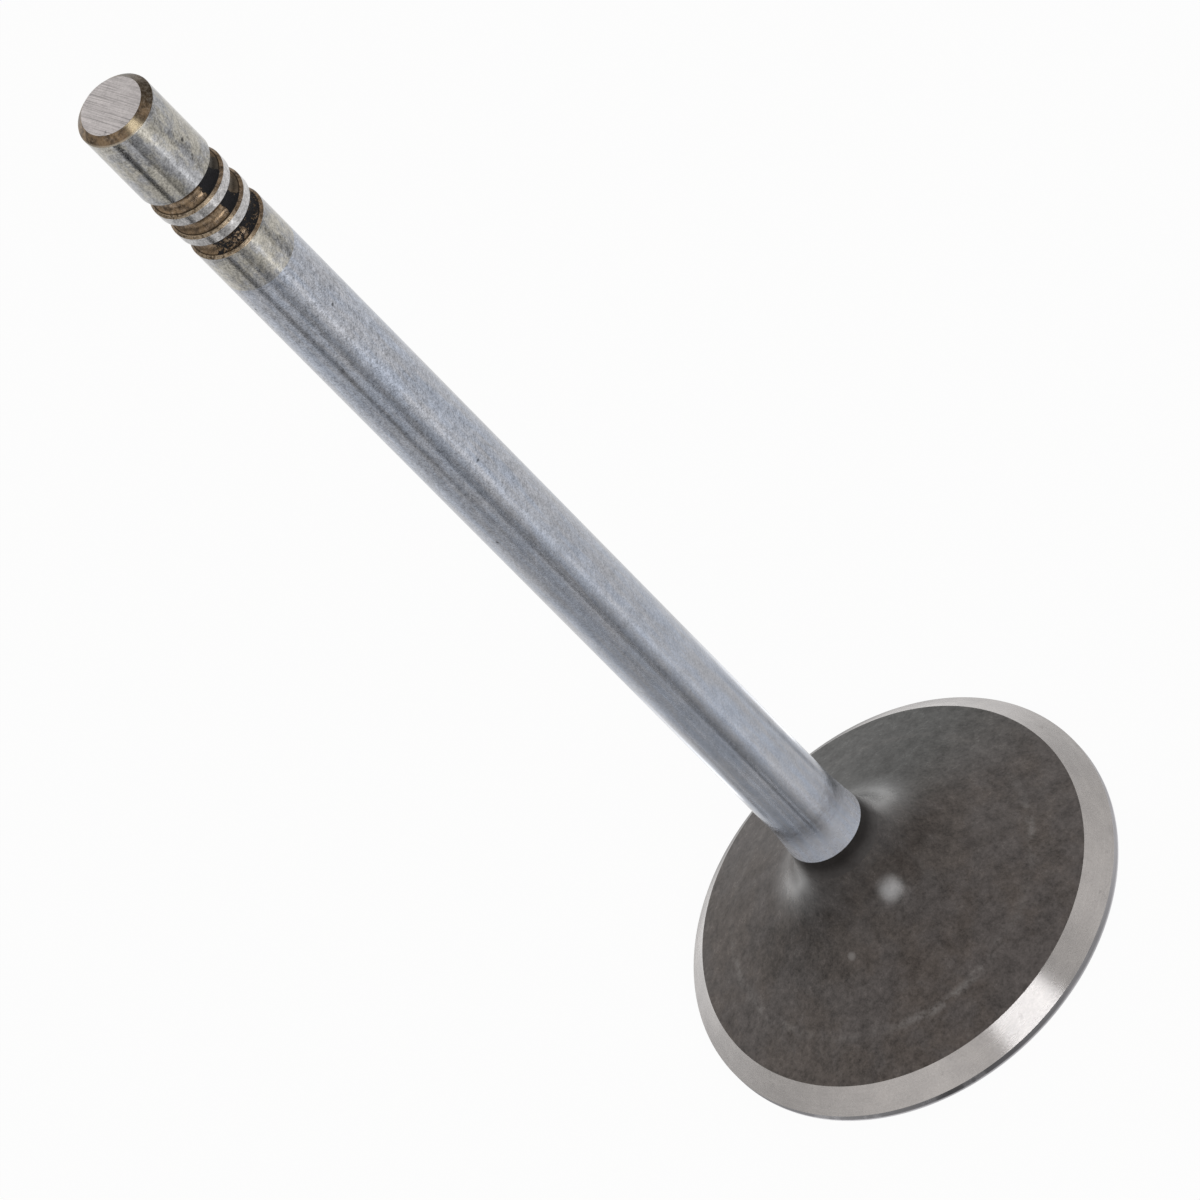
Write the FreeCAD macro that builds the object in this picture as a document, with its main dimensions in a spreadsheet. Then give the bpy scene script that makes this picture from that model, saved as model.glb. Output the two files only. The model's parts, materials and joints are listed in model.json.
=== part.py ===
import FreeCAD, Part
import math
import os

import Sketcher

# Poppet valve of a car engine, forged, turned and ground as one piece of steel.
# Millimetres. The valve stands on the centre of its head face, with its stem up:
# Z = 0 is the head face, and the stem's axis is the Z axis.

DIMENSIONS = [
    ("overall_length", 116.1, "head face to tip end face"),
    ("head_diameter", 35.6, "outside of the rim"),
    ("margin_height", 0.78, "straight rim between the head face and the seat"),
    ("seat_width", 1.65, "seat measured across the radius"),
    ("seat_angle", 45.0, "seat against the plane of the head, degrees"),
    ("back_angle", 24.5, "cone behind the seat against the plane of the head, degrees"),
    ("neck_radius", 9.4, "blend between the cone and the flare"),
    ("flare_radius", 36.0, "slow flare between the neck and the straight stem"),
    ("stem_start", 17.3, "height where the straight stem begins"),
    ("stem_diameter", 5.97, "ground stem"),
    ("rim_break", 0.12, "rounding between the head face and the rim"),
    ("tip_chamfer", 0.6, "chamfer round the tip end face"),
    ("tip_land", 8.27, "tip end face to the nearest edge of the first groove"),
    ("groove_count", 3, "keeper grooves"),
    ("groove_pitch", 2.72, "groove to groove"),
    ("groove_width", 1.86, "groove at the surface of the stem, lips included"),
    ("groove_depth", 0.7, "bottom of the groove below the surface of the stem"),
    ("groove_lip", 0.2, "bevel on each edge of a groove"),
]

SHEET = "Dimensions"
FULL_TURN = 360
EDGE_SLACK = 1e-6
VOLUME_SLACK = 1e-3


def make_sheet(doc):
    """Puts every driving dimension in a cell of its own, with its name as the alias."""
    sheet = doc.addObject("Spreadsheet::Sheet", SHEET)
    for row, (alias, value, note) in enumerate(DIMENSIONS, start=1):
        sheet.set(f"A{row}", note)
        sheet.set(f"B{row}", str(value))
        sheet.setAlias(f"B{row}", alias)
    doc.recompute()


def value_of(alias):
    """The number behind an alias, for first positions and for the checks."""
    return next(value for name, value, note in DIMENSIONS if name == alias)


def upright_sketch(body, name):
    """A sketch in the plane through the axis: its x is the radius, its y is the height."""
    plane = next(item for item in body.Origin.OriginFeatures if item.Role == "XZ_Plane")
    sketch = body.newObject("Sketcher::SketchObject", name)
    sketch.AttachmentSupport = [(plane, "")]
    sketch.MapMode = "FlatFace"
    return sketch


def bound(sketch, name, formula, *definition):
    """Adds a dimension to the sketch, names it and ties it to the sheet."""
    index = sketch.addConstraint(Sketcher.Constraint(*definition))
    sketch.renameConstraint(index, name)
    sketch.setExpression(f"Constraints.{name}", formula)


def line(sketch, start, end):
    """Adds a straight edge between two (radius, height) pairs."""
    first = FreeCAD.Vector(*start, 0)
    last = FreeCAD.Vector(*end, 0)
    return sketch.addGeometry(Part.LineSegment(first, last), False)


def arc(sketch, centre, radius, start_angle, end_angle):
    """Adds a circular edge that runs counterclockwise between two angles in radians."""
    circle = Part.Circle(FreeCAD.Vector(*centre, 0), FreeCAD.Vector(0, 0, 1), radius)
    return sketch.addGeometry(Part.ArcOfCircle(circle, start_angle, end_angle), False)


def chain(sketch, joints):
    """Joins the ends of edges: each joint is (edge, end, edge, end)."""
    for joint in joints:
        sketch.addConstraint(Sketcher.Constraint("Coincident", *joint))


def half_outline(body):
    """Half of the valve's outline: head face, rim, seat, back cone, neck, flare, stem and tip."""
    length = value_of("overall_length")
    rim = value_of("head_diameter") / 2
    margin = value_of("margin_height")
    stem = value_of("stem_diameter") / 2
    start = value_of("stem_start")
    neck = value_of("neck_radius")
    flare = value_of("flare_radius")
    seat_slope = math.radians(value_of("seat_angle"))
    back_slope = math.radians(value_of("back_angle"))
    seat_inner = rim - value_of("seat_width")
    seat_top = margin + (rim - seat_inner) * math.tan(seat_slope)

    # The two arcs touch where they lean by the same angle from the stem.
    rise = start - seat_top - neck * math.cos(back_slope)
    spread = seat_inner + neck * math.sin(back_slope) - stem - flare
    off_cone = rise * math.cos(back_slope) - spread * math.sin(back_slope)
    lean = math.asin(off_cone / (flare - neck)) - back_slope
    flare_centre = (stem + flare, start)
    neck_x = flare_centre[0] - (flare - neck) * math.cos(lean)
    neck_y = flare_centre[1] - (flare - neck) * math.sin(lean)
    cone_foot = (neck_x - neck * math.sin(back_slope), neck_y - neck * math.cos(back_slope))

    sketch = upright_sketch(body, "ValveOutline")
    face_edge = line(sketch, (0, 0), (rim, 0))
    rim_edge = line(sketch, (rim, 0), (rim, margin))
    seat_edge = line(sketch, (rim, margin), (seat_inner, seat_top))
    cone_edge = line(sketch, (seat_inner, seat_top), cone_foot)
    neck_edge = arc(sketch, (neck_x, neck_y), neck, math.pi + lean, 1.5 * math.pi - back_slope)
    flare_edge = arc(sketch, flare_centre, flare, math.pi, math.pi + lean)
    stem_edge = line(sketch, (stem, start), (stem, length))
    tip_edge = line(sketch, (stem, length), (0, length))
    axis_edge = line(sketch, (0, length), (0, 0))
    chain(sketch, [
        (face_edge, 2, rim_edge, 1),
        (rim_edge, 2, seat_edge, 1),
        (seat_edge, 2, cone_edge, 1),
        (stem_edge, 2, tip_edge, 1),
        (tip_edge, 2, axis_edge, 1),
        (axis_edge, 2, face_edge, 1),
        (face_edge, 1, -1, 1),
    ])
    for edge in (face_edge, tip_edge):
        sketch.addConstraint(Sketcher.Constraint("Horizontal", edge))
    for edge in (rim_edge, stem_edge, axis_edge):
        sketch.addConstraint(Sketcher.Constraint("Vertical", edge))
    sketch.addConstraint(Sketcher.Constraint("Tangent", cone_edge, 2, neck_edge, 2))
    sketch.addConstraint(Sketcher.Constraint("Tangent", neck_edge, 1, flare_edge, 2))
    sketch.addConstraint(Sketcher.Constraint("Tangent", flare_edge, 1, stem_edge, 1))

    bound(sketch, "length", f"{SHEET}.overall_length", "DistanceY", axis_edge, 2, axis_edge, 1, length)
    bound(sketch, "rim", f"{SHEET}.head_diameter / 2", "DistanceX", face_edge, 1, face_edge, 2, rim)
    bound(sketch, "margin", f"{SHEET}.margin_height", "DistanceY", rim_edge, 1, rim_edge, 2, margin)
    bound(sketch, "seat", f"{SHEET}.seat_width", "DistanceX", seat_edge, 2, seat_edge, 1, rim - seat_inner)
    bound(sketch, "seat_rise", f"{SHEET}.seat_width * tan({SHEET}.seat_angle * 1 deg)",
          "DistanceY", seat_edge, 1, seat_edge, 2, seat_top - margin)
    bound(sketch, "back", f"180 deg - {SHEET}.back_angle * 1 deg", "Angle", cone_edge, math.pi - back_slope)
    bound(sketch, "stem", f"{SHEET}.stem_diameter / 2", "DistanceX", tip_edge, 2, tip_edge, 1, stem)
    bound(sketch, "stem_start", f"{SHEET}.stem_start", "DistanceY", -1, 1, stem_edge, 1, start)
    bound(sketch, "neck", f"{SHEET}.neck_radius", "Radius", neck_edge, neck)
    bound(sketch, "flare", f"{SHEET}.flare_radius", "Radius", flare_edge, flare)
    return sketch


def groove_outline(body):
    """The section that one keeper groove takes away: a round bottom between two bevelled lips."""
    stem = value_of("stem_diameter") / 2
    lip = value_of("groove_lip")
    depth = value_of("groove_depth")
    half = value_of("groove_width") / 2
    middle = value_of("overall_length") - value_of("tip_land") - half
    reach = half - lip
    bottom = depth - lip
    radius = (reach ** 2 + bottom ** 2) / (2 * bottom)
    swing = math.atan2(reach, radius - bottom)

    sketch = upright_sketch(body, "GrooveOutline")
    opening = line(sketch, (stem + lip, middle - half - lip), (stem + lip, middle + half + lip))
    upper_lip = line(sketch, (stem + lip, middle + half + lip), (stem - lip, middle + reach))
    bowl = arc(sketch, (stem - depth + radius, middle), radius, math.pi - swing, math.pi + swing)
    lower_lip = line(sketch, (stem - lip, middle - reach), (stem + lip, middle - half - lip))
    chain(sketch, [
        (opening, 2, upper_lip, 1),
        (upper_lip, 2, bowl, 1),
        (bowl, 2, lower_lip, 1),
        (lower_lip, 2, opening, 1),
    ])
    sketch.addConstraint(Sketcher.Constraint("Vertical", opening))
    sketch.addConstraint(Sketcher.Constraint("Vertical", bowl, 1, bowl, 2))

    cell = f"{SHEET}."
    reach_formula = f"({cell}groove_width / 2 - {cell}groove_lip)"
    bottom_formula = f"({cell}groove_depth - {cell}groove_lip)"
    middle_formula = f"{cell}overall_length - {cell}tip_land - {cell}groove_width / 2"
    bound(sketch, "middle", middle_formula, "DistanceY", -1, 1, bowl, 3, middle)
    bound(sketch, "reach_up", reach_formula, "DistanceY", bowl, 3, bowl, 1, reach)
    bound(sketch, "lip_bottom", f"{cell}stem_diameter / 2 - {cell}groove_lip",
          "DistanceX", -1, 1, bowl, 1, stem - lip)
    bound(sketch, "bowl_radius", f"({reach_formula}^2 + {bottom_formula}^2) / (2 * {bottom_formula})",
          "Radius", bowl, radius)
    bound(sketch, "upper_out", f"2 * {cell}groove_lip", "DistanceX", upper_lip, 2, upper_lip, 1, 2 * lip)
    bound(sketch, "upper_up", f"2 * {cell}groove_lip", "DistanceY", upper_lip, 2, upper_lip, 1, 2 * lip)
    bound(sketch, "lower_down", f"2 * {cell}groove_lip", "DistanceY", lower_lip, 2, lower_lip, 1, 2 * lip)
    return sketch


def circle_at(feature, radius, height):
    """The name of the full circular edge with this radius at this height."""
    for number, edge in enumerate(feature.Shape.Edges, start=1):
        if not isinstance(edge.Curve, Part.Circle):
            continue
        off_radius = abs(edge.Curve.Radius - radius)
        off_height = abs(edge.Curve.Center.z - height)
        if max(off_radius, off_height) < EDGE_SLACK:
            return f"Edge{number}"
    raise RuntimeError(f"no circle of radius {radius} at height {height}")


def make_valve(doc):
    """The whole valve as one body: turned blank, keeper grooves, tip chamfer, rounded rim."""
    body = doc.addObject("PartDesign::Body", "valve")
    body.Label = "valve"
    body.Placement = FreeCAD.Placement()

    blank = body.newObject("PartDesign::Revolution", "Blank")
    blank.Profile = half_outline(body)
    blank.ReferenceAxis = (blank.Profile[0], ["V_Axis"])
    blank.Angle = FULL_TURN
    doc.recompute()

    rim = body.newObject("PartDesign::Fillet", "RoundedRim")
    rim.Base = (blank, [circle_at(blank, value_of("head_diameter") / 2, 0)])
    rim.setExpression("Radius", f"{SHEET}.rim_break")
    doc.recompute()

    tip = body.newObject("PartDesign::Chamfer", "TipChamfer")
    tip.Base = (rim, [circle_at(rim, value_of("stem_diameter") / 2, value_of("overall_length"))])
    tip.setExpression("Size", f"{SHEET}.tip_chamfer")
    doc.recompute()
    volume_before = tip.Shape.Volume

    groove = body.newObject("PartDesign::Groove", "KeeperGroove")
    groove.Profile = groove_outline(body)
    groove.ReferenceAxis = (groove.Profile[0], ["V_Axis"])
    groove.Angle = FULL_TURN
    doc.recompute()
    one_groove = volume_before - groove.Shape.Volume

    grooves = body.newObject("PartDesign::LinearPattern", "KeeperGrooves")
    grooves.Originals = [groove]
    grooves.Direction = (groove.Profile[0], ["V_Axis"])
    grooves.Reversed = True
    grooves.setExpression("Length", f"{SHEET}.groove_pitch * ({SHEET}.groove_count - 1)")
    grooves.setExpression("Occurrences", f"{SHEET}.groove_count")
    body.Tip = grooves
    doc.recompute()

    all_grooves = volume_before - body.Shape.Volume
    missing = value_of("groove_count") * one_groove - all_grooves
    if one_groove <= 0 or abs(missing) > VOLUME_SLACK:
        raise RuntimeError("the keeper grooves are not all cut")
    return body


def check_document(doc, parts):
    """Stops before anything is written if an object failed or a shape is empty or invalid."""
    for item in doc.Objects:
        if {"Invalid", "Error"} & set(item.State):
            raise RuntimeError(f"{item.Name} failed: {item.State}")
    for part in parts:
        if part.Shape.isNull() or not part.Shape.isValid() or len(part.Shape.Solids) != 1:
            raise RuntimeError(f"{part.Label} is not one valid solid")


def write_parts(parts):
    """Writes each piece to a file with its own name."""
    os.makedirs("parts", exist_ok=True)
    for part in parts:
        part.Shape.exportStep(f"parts/{part.Label}.step")
        box = part.Shape.BoundBox
        print(part.Label, f"{box.XLength:.3f} x {box.YLength:.3f} x {box.ZLength:.3f} mm,",
              f"{part.Shape.Volume:.1f} cubic mm")


document = FreeCAD.newDocument("engine_valve")
make_sheet(document)
pieces = [make_valve(document)]
check_document(document, pieces)
write_parts(pieces)
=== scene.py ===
"""An engine valve: plated stem, three keeper grooves, blended neck, and a ground seat on a round head."""

import json
import math

import bpy
from mathutils import Matrix, Vector


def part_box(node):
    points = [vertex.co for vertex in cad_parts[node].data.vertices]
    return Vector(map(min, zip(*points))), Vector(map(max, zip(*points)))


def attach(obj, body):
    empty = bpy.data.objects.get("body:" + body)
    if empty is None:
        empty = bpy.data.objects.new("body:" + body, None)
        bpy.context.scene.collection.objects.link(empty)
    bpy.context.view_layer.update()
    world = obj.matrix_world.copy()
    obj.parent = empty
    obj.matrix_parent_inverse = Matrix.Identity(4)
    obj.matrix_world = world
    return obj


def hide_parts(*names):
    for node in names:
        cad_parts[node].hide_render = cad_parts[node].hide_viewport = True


bl_info = {
    "name": "Engine valve",
    "version": (1, 0, 0),
    "blender": (4, 5, 0),
    "location": "3D View > Sidebar > Valve",
    "description": "Turns an engine valve with its shop finishes and sets up a plain studio round it",
    "category": "Add Mesh",
}

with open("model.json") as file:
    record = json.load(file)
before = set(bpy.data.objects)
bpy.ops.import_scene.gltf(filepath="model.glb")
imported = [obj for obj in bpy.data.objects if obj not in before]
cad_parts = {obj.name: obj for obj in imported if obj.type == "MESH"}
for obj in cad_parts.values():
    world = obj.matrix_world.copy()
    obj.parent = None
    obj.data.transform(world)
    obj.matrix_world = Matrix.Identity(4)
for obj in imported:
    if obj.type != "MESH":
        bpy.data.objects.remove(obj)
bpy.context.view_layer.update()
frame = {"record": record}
VALVE_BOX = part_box("valve")
STEM_MOUNT = next(mount for mount in frame["record"]["mounts"] if mount["name"] == "stem")
MM = 0.001
UP = (0.0, 0.0, 1.0)
HEAD_FACE, RIM, SEAT, BACK, COLLAR, PLATED, GROUND, GROOVE, LIP, CHAMFER, TIP_FACE = range(11)


class ValveSizes(bpy.types.PropertyGroup):
    """Lengths of the turned outline"""

    length: bpy.props.FloatProperty(
        name="Length", description="Head face to tip", default=VALVE_BOX[1][2] - VALVE_BOX[0][2], unit="LENGTH")
    head_radius: bpy.props.FloatProperty(
        name="Head radius", description="Outside of the rim", default=VALVE_BOX[1][0], unit="LENGTH")
    margin: bpy.props.FloatProperty(
        name="Margin", description="Straight rim under the seat", default=0.78 * MM, unit="LENGTH")
    rim_break: bpy.props.FloatProperty(
        name="Rim break", description="Rounding between head face and rim", default=0.12 * MM, unit="LENGTH")
    seat_width: bpy.props.FloatProperty(
        name="Seat width", description="Ground seat, measured along the radius", default=1.65 * MM, unit="LENGTH")
    seat_angle: bpy.props.FloatProperty(
        name="Seat angle", description="Slope of the seat", default=math.radians(45), subtype="ANGLE")
    back_angle: bpy.props.FloatProperty(
        name="Back angle", description="Slope of the head's back", default=math.radians(24.5), subtype="ANGLE")
    neck_radius: bpy.props.FloatProperty(
        name="Neck radius", description="Blend between back and flare", default=9.4 * MM, unit="LENGTH")
    flare_radius: bpy.props.FloatProperty(
        name="Flare radius", description="Slow flare between neck and stem", default=36.0 * MM, unit="LENGTH")
    flare_height: bpy.props.FloatProperty(
        name="Flare height", description="Where the straight stem starts", default=17.3 * MM, unit="LENGTH")
    stem_radius: bpy.props.FloatProperty(
        name="Stem radius", description="Straight stem", default=STEM_MOUNT["dims"]["r_mm"] * MM, unit="LENGTH")
    plated_from: bpy.props.FloatProperty(
        name="Plating from", description="Height where the plating starts", default=13.38 * MM, unit="LENGTH")
    collar_width: bpy.props.FloatProperty(
        name="Collar width", description="Burnt ring under the plating", default=1.9 * MM, unit="LENGTH")
    plated_to: bpy.props.FloatProperty(
        name="Plating to", description="Height where the plating ends", default=96.3 * MM, unit="LENGTH")
    tip_land: bpy.props.FloatProperty(
        name="Tip land", description="Tip to the first keeper groove", default=8.27 * MM, unit="LENGTH")
    groove_pitch: bpy.props.FloatProperty(
        name="Groove pitch", description="Keeper groove to keeper groove", default=2.72 * MM, unit="LENGTH")
    groove_width: bpy.props.FloatProperty(
        name="Groove width", description="Across a groove and its lips", default=1.86 * MM, unit="LENGTH")
    groove_depth: bpy.props.FloatProperty(
        name="Groove depth", description="Stem wall to groove bottom", default=0.7 * MM, unit="LENGTH")
    groove_lip: bpy.props.FloatProperty(
        name="Groove lip", description="Bevel along each groove edge", default=0.2 * MM, unit="LENGTH")
    groove_count: bpy.props.IntProperty(
        name="Grooves", description="Number of keeper grooves", default=3, min=1)
    tip_chamfer: bpy.props.FloatProperty(
        name="Tip chamfer", description="Bevel round the tip face", default=0.6 * MM, unit="LENGTH")
    edge_round: bpy.props.FloatProperty(
        name="Edge rounding", description="Wear on the sharp edges", default=0.04 * MM, unit="LENGTH")
    segments: bpy.props.IntProperty(
        name="Segments", description="Steps round the valve", default=240, min=24)


class ValveFinishes(bpy.types.PropertyGroup):
    """Colours of the valve's finishes"""

    plating: bpy.props.FloatVectorProperty(
        name="Plating", description="Hard plating on the stem", default=(0.415, 0.438, 0.484), subtype="COLOR")
    ground_steel: bpy.props.FloatVectorProperty(
        name="Ground steel", description="Bare stem at the grooves", default=(0.335, 0.325, 0.315), subtype="COLOR")
    seat_steel: bpy.props.FloatVectorProperty(
        name="Seat steel", description="Freshly ground seat", default=(0.645, 0.62, 0.605), subtype="COLOR")
    tip_steel: bpy.props.FloatVectorProperty(
        name="Tip steel", description="Ground end face", default=(0.622, 0.601, 0.605), subtype="COLOR")
    forged_scale: bpy.props.FloatVectorProperty(
        name="Forged back", description="Dark back and neck", default=(0.091, 0.083, 0.0785), subtype="COLOR")
    heat_brown: bpy.props.FloatVectorProperty(
        name="Heat brown", description="Tempered colour in the grooves", default=(0.30, 0.215, 0.135), subtype="COLOR")
    soot: bpy.props.FloatVectorProperty(
        name="Soot", description="Black crust in the grooves", default=(0.010, 0.010, 0.012), subtype="COLOR")


class StudioSettings(bpy.types.PropertyGroup):
    """Camera, lamps and cards"""

    aim_height: bpy.props.FloatProperty(
        name="Aim height", description="Point of the axis in the middle of the picture", default=0.0473, unit="LENGTH")
    distance: bpy.props.FloatProperty(
        name="Distance", description="Camera to aim point", default=0.93665, unit="LENGTH")
    elevation: bpy.props.FloatProperty(
        name="Elevation", description="Camera above the floor", default=math.radians(46.322), subtype="ANGLE")
    roll: bpy.props.FloatProperty(
        name="Roll", description="Tilt of the camera", default=math.radians(44.722), subtype="ANGLE")
    lens: bpy.props.FloatProperty(
        name="Lens", description="Focal length in millimetres", default=389.3)
    key_elevation: bpy.props.FloatProperty(
        name="Key elevation", description="Height angle of the soft lamp", default=math.radians(26.5), subtype="ANGLE")
    key_side: bpy.props.FloatProperty(
        name="Key side", description="Turn of the soft lamp towards +X", default=math.radians(6), subtype="ANGLE")
    key_power: bpy.props.FloatProperty(
        name="Key power", description="Watts of the soft lamp", default=1.66)


class Link:
    """One value in a node tree, which joins sums and products the way a number does."""

    def __init__(self, bench, socket):
        self.bench = bench
        self.socket = socket

    def __add__(self, other):
        return self.bench.math("ADD", self, other)

    def __sub__(self, other):
        return self.bench.math("SUBTRACT", self, other)

    def __rsub__(self, other):
        return self.bench.math("SUBTRACT", other, self)

    def __mul__(self, other):
        return self.bench.math("MULTIPLY", self, other)

    def __truediv__(self, other):
        return self.bench.math("DIVIDE", self, other)

    def __mod__(self, other):
        return self.bench.math("MODULO", self, other)

    def __pow__(self, other):
        return self.bench.math("POWER", self, other)

    def __abs__(self):
        return self.bench.math("ABSOLUTE", self)

    def __neg__(self):
        return self.bench.math("MULTIPLY", self, -1.0)

    __radd__ = __add__


class Bench:
    """A node tree being wired up."""

    def __init__(self, tree):
        self.tree = tree

    def add(self, kind, settings=None, values=None, output=0):
        """Adds a node from its type, its settings and the values or links of its sockets."""
        node = self.tree.nodes.new(kind)
        for name, value in (settings or {}).items():
            setattr(node, name, value)
        for name, value in (values or {}).items():
            if isinstance(value, Link):
                self.tree.links.new(value.socket, node.inputs[name])
            else:
                node.inputs[name].default_value = value
        return Link(self, node.outputs[output]) if node.outputs else None

    def math(self, operation, *values):
        """One step of arithmetic."""
        return self.add("ShaderNodeMath", {"operation": operation}, dict(enumerate(values)))

    def vector(self, x, y, z):
        """A vector from its three parts."""
        return self.add("ShaderNodeCombineXYZ", {}, {0: x, 1: y, 2: z})

    def parts(self, vector):
        """The three parts of a vector."""
        split = self.add("ShaderNodeSeparateXYZ", {}, {0: vector})
        return [Link(self, socket) for socket in split.socket.node.outputs]

    def smooth(self, value, low, high):
        """Rises smoothly from 0 at low to 1 at high."""
        return self.add("ShaderNodeMapRange", {"interpolation_type": "SMOOTHSTEP"},
                        {"Value": value, "From Min": low, "From Max": high})

    def between(self, value, low, high, soft):
        """Is 1 between low and high, with soft ends."""
        return self.smooth(value, low - soft, low + soft) * (1 - self.smooth(value, high - soft, high + soft))

    def noise(self, vector, scale, detail=2.0, roughness=0.5):
        """Soft random swings between 0 and 1."""
        return self.add("ShaderNodeTexNoise", {},
                        {"Vector": vector, "Scale": scale, "Detail": detail, "Roughness": roughness})

    def mix(self, factor, first, second):
        """Blends two colours."""
        return self.add("ShaderNodeMix", {"data_type": "RGBA"}, {0: factor, 6: first, 7: second}, output=2)

    def shade(self, colour, amount):
        """Darkens or lightens a colour by a factor that varies."""
        colour = colour if isinstance(colour, Link) else colour[:3]
        return self.add("ShaderNodeVectorMath", {"operation": "SCALE"}, {0: colour, "Scale": amount})

    def vary(self, base, *patterns):
        """A level that swings round its base by each pattern's amount."""
        level = base - 0.5 * sum(amount for _, amount in patterns)
        for pattern, amount in patterns:
            level = pattern * amount + level
        return level

    def specks(self, vector, scale, size, share):
        """Small round spots scattered over a share of the cells of a pattern."""
        cells = {"Vector": vector, "Scale": scale}
        distance = self.add("ShaderNodeTexVoronoi", {}, cells)
        pick = self.parts(self.add("ShaderNodeTexVoronoi", {}, cells, output=1))[0]
        return (1 - self.smooth(distance, size * 0.5, size)) * self.smooth(pick, 1 - share, 1.001 - share)


def cleared(owner):
    """A bench on the emptied node tree of a material or a world."""
    owner.use_nodes = True
    owner.node_tree.nodes.clear()
    return Bench(owner.node_tree)


def tinted(colour, red, green, blue):
    """A colour with each of its parts scaled, and nothing let through."""
    return (colour[0] * red, colour[1] * green, colour[2] * blue, 1.0)


def rgba(colour, factor=1.0):
    """A colour made lighter or darker, and nothing let through."""
    return tinted(colour, factor, factor, factor)


# Turned outline

BOWL_STEPS, NECK_STEPS, COLLAR_STEPS, FLARE_STEPS, EDGE_STEPS = 16, 38, 4, 8, 5
SAME_PLACE = 1e-7


def arc_rows(centre, radius, start, end, steps, finish):
    """Rows along an arc, both ends included."""
    rows = []
    for step in range(steps + 1):
        angle = start + (end - start) * step / steps
        rows.append((centre[0] + radius * math.cos(angle), centre[1] + radius * math.sin(angle), 0.0, finish))
    return rows


def groove_rows(sizes, bottom):
    """Rows of one keeper groove, from its edge nearer the head: lip, round bowl, lip."""
    wall = sizes.stem_radius
    lip = sizes.groove_lip
    half = sizes.groove_width / 2 - lip
    sagitta = sizes.groove_depth - lip
    bowl = (half ** 2 + sagitta ** 2) / (2 * sagitta)
    centre = (wall - sizes.groove_depth + bowl, bottom + sizes.groove_width / 2)
    spread = math.asin(half / bowl)
    rows = [(wall, bottom, sizes.edge_round, LIP)]
    rows += arc_rows(centre, bowl, math.pi + spread, math.pi - spread, BOWL_STEPS, GROOVE)[:-1]
    rows.append((wall - lip, bottom + sizes.groove_width - lip, 0.0, LIP))
    rows.append((wall, bottom + sizes.groove_width, sizes.edge_round, GROUND))
    return rows


def valve_outline(sizes):
    """Rows of radius, height, edge rounding and finish, from the head face's centre to the tip's centre."""
    rim = sizes.head_radius
    wall = sizes.stem_radius
    wear_and_painted_light = sizes.edge_round
    seat_inner = rim - sizes.seat_width
    seat_top = sizes.margin + sizes.seat_width * math.tan(sizes.seat_angle)
    slope = sizes.back_angle
    neck = sizes.neck_radius
    flare = sizes.flare_radius
    top = sizes.flare_height
    rise = top - neck * math.cos(slope) - seat_top
    spare = seat_inner - wall - flare + neck * math.sin(slope)
    lean = math.asin(math.cos(slope) * (rise - spare * math.tan(slope)) / (flare - neck)) - slope
    flare_centre = (wall + flare, top)
    gap = flare - neck
    neck_centre = (flare_centre[0] - gap * math.cos(lean), flare_centre[1] - gap * math.sin(lean))
    plate = math.asin((top - sizes.plated_from) / flare)
    collar = math.asin((neck_centre[1] - sizes.plated_from + sizes.collar_width) / neck)
    rows = [(0.0, 0.0, 0.0, HEAD_FACE)]
    rows.append((rim, 0.0, sizes.rim_break, RIM))
    rows.append((rim, sizes.margin, wear_and_painted_light, SEAT))
    rows.append((seat_inner, seat_top, wear_and_painted_light, BACK))
    rows += arc_rows(neck_centre, neck, -math.pi / 2 - slope, -math.pi + collar, NECK_STEPS, BACK)
    rows += arc_rows(neck_centre, neck, -math.pi + collar, -math.pi + lean, COLLAR_STEPS, COLLAR)
    rows += arc_rows(flare_centre, flare, -math.pi + lean, -math.pi + min(plate, lean), 1, COLLAR)
    rows += arc_rows(flare_centre, flare, -math.pi + min(plate, lean), -math.pi, FLARE_STEPS, PLATED)
    rows.append((wall, sizes.plated_to, 0.0, GROUND))
    tip_edge = sizes.length - sizes.tip_land
    for index in reversed(range(sizes.groove_count)):
        rows += groove_rows(sizes, tip_edge - index * sizes.groove_pitch - sizes.groove_width)
    rows.append((wall, sizes.length - sizes.tip_chamfer, wear_and_painted_light, CHAMFER))
    rows.append((wall - sizes.tip_chamfer, sizes.length, wear_and_painted_light, TIP_FACE))
    rows.append((0.0, sizes.length, 0.0, TIP_FACE))
    return rows


def without_repeats(rows):
    """Drops a row that stands where the next one stands."""
    kept = []
    for row in rows:
        if kept and math.dist(kept[-1][:2], row[:2]) < SAME_PLACE:
            kept.pop()
        kept.append(row)
    return kept


def with_round_edges(rows):
    """Turns each marked corner into a small arc between two supporting rows."""
    arc_share, support_share, support_reach = 0.45, 1.6, 1.7
    result = [rows[0]]
    for before, corner, after in zip(rows, rows[1:], rows[2:]):
        rounding = corner[2]
        if not rounding:
            result.append(corner)
            continue
        here = Vector(corner[:2])
        back = Vector(before[:2]) - here
        ahead = Vector(after[:2]) - here
        room = arc_share * min(back.length, ahead.length)
        back.normalize()
        ahead.normalize()
        half = back.angle(ahead) / 2
        reach = min(rounding / math.tan(half), room)
        middle = (back + ahead).normalized()
        centre = here + middle * reach / math.cos(half)
        support = min(reach * support_reach, room * support_share)
        first = here + back * reach - centre
        last = here + ahead * reach - centre
        result.append((*(here + back * support), 0.0, before[3]))
        turn = first.angle_signed(last)
        for step in range(EDGE_STEPS + 1):
            spun = Vector((first.x, first.y))
            spun.rotate(Matrix.Rotation(-turn * step / EDGE_STEPS, 2))
            result.append((*(centre + spun), 0.0, before[3] if step < 2 else corner[3]))
        result.append((*(here + ahead * support), 0.0, corner[3]))
    result.append(rows[-1])
    return result


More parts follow.
